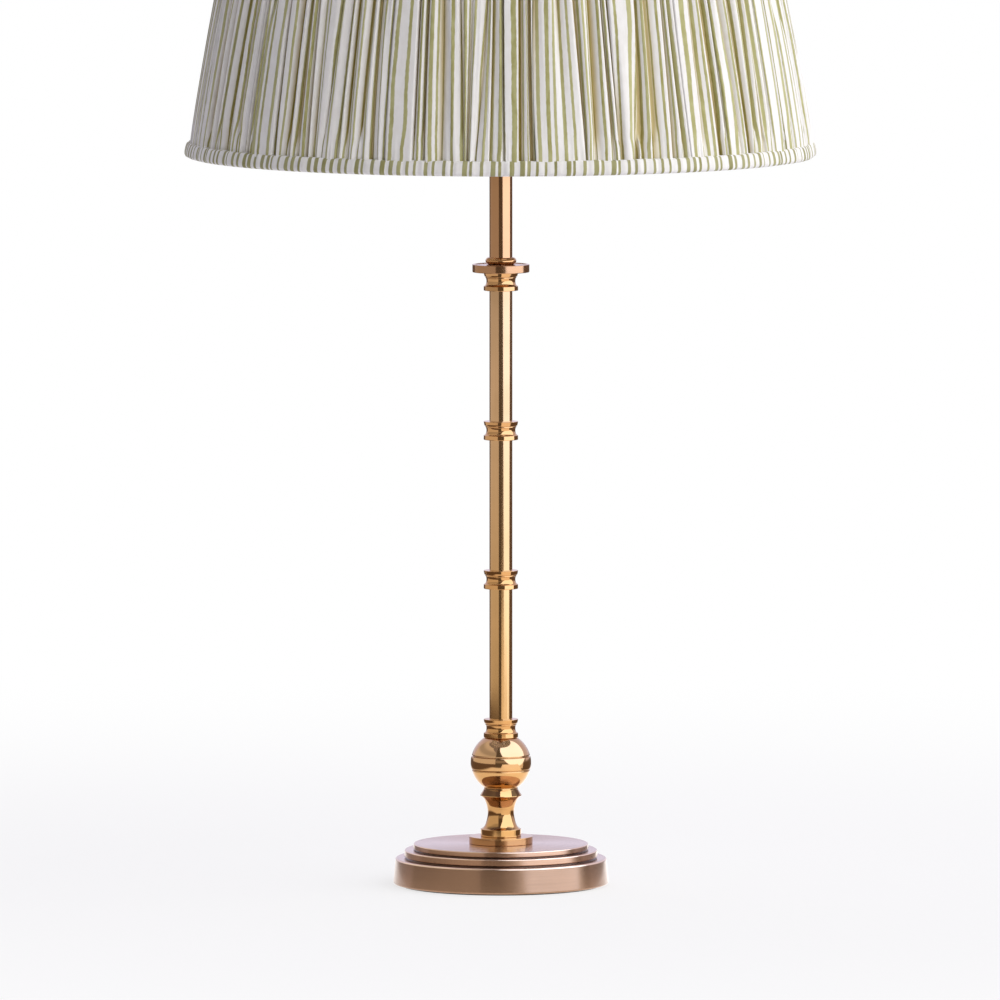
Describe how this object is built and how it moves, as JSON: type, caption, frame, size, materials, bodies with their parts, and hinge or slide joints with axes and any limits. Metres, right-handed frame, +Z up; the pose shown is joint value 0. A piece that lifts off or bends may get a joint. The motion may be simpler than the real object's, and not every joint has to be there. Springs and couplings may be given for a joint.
{
  "type": "candlestick table lamp",
  "caption": "Brass candlestick table lamp: stepped round base, ball knop, collared tube stem, drip pan, screw lampholder with push-bar switch, gathered striped cone shade.",
  "frame": {"origin": "centre of the felt's underside, on the table", "axes": "+Z up along the stem; the front faces -Y, the cable leaves the base at the back, +Y"},
  "size_m": [0.3516, 0.3516, 0.6308],
  "materials": {
    "antique_brass": "warm antique brass, satin lacquered",
    "holder_brass": "antiqued pressed brass",
    "socket_brass": "bright pressed brass",
    "zinc_steel": "zinc plated",
    "plate_steel": "black painted steel",
    "iron": "as cast",
    "felt": "dark green felt",
    "bush_black": "black nylon",
    "porcelain": "white glazed",
    "switch_black": "black moulded",
    "bulb_metal": "plain",
    "bulb_black": "black glass insulator",
    "bulb_opal": "opal white",
    "striped_cloth": "gathered cotton, off-white with sage green stripes",
    "liner_card": "white laminated liner",
    "frame_white": "white powder coat"
  },
  "bodies": {
    "lamp": {"felt_pad": "felt", "cover_plate": "plate_steel", "base_shell": "antique_brass", "ballast": "iron", "cable_bush": "bush_black", "threaded_rod": "zinc_steel", "rod_nut": "zinc_steel", "rod_washer": "zinc_steel", "foot_disc": "antique_brass", "pedestal_waist": "antique_brass", "knop": "antique_brass", "collar_1": "antique_brass", "stem_tube_1": "antique_brass", "collar_2": "antique_brass", "stem_tube_2": "antique_brass", "collar_3": "antique_brass", "stem_tube_3": "antique_brass", "collar_4": "antique_brass", "drip_pan": "antique_brass", "bead_ring": "antique_brass", "candle_tube": "antique_brass", "lampholder_dome": "holder_brass", "lock_screw": "zinc_steel", "lampholder_core": "porcelain", "lampholder_skirt": "holder_brass", "insulating_sleeve": "porcelain", "bulb_socket": "socket_brass", "centre_contact": "socket_brass", "contact_rivet": "socket_brass", "lower_shade_ring": "holder_brass"},
    "switch": {"switch_bar": "switch_black", "switch_button_left": "switch_black", "switch_button_right": "switch_black"},
    "bulb": {"bulb_contact": "bulb_metal", "bulb_insulator": "bulb_black", "bulb_cap": "bulb_metal", "bulb_glass": "bulb_opal"},
    "clamp_ring": {"upper_shade_ring": "holder_brass"},
    "shade": {"shade_cover": "striped_cloth", "shade_liner": "liner_card", "shade_lower_wire": "frame_white", "shade_upper_wire": "frame_white", "shade_lower_binding": "striped_cloth", "shade_upper_binding": "striped_cloth", "shade_fitter": "frame_white", "shade_arm_1": "frame_white", "shade_arm_2": "frame_white", "shade_arm_3": "frame_white"}
  },
  "joints": [
    {"name": "switch_push", "type": "slide", "parent": "lamp", "child": "switch", "axis": [1, 0, 0], "range_m": [0, 0.004]},
    {"name": "bulb_out", "type": "slide", "parent": "lamp", "child": "bulb", "axis": [0, 0, 1], "range_m": [0, 0.21]},
    {"name": "shade_lift", "type": "slide", "parent": "lamp", "child": "clamp_ring", "axis": [0, 0, 1], "range_m": [0, 0.15]},
    {"name": "shade_turn", "type": "hinge", "parent": "clamp_ring", "child": "shade", "pos_m": [0, 0, 0.4392], "axis": [0, 0, 1], "continuous": true}
  ]
}
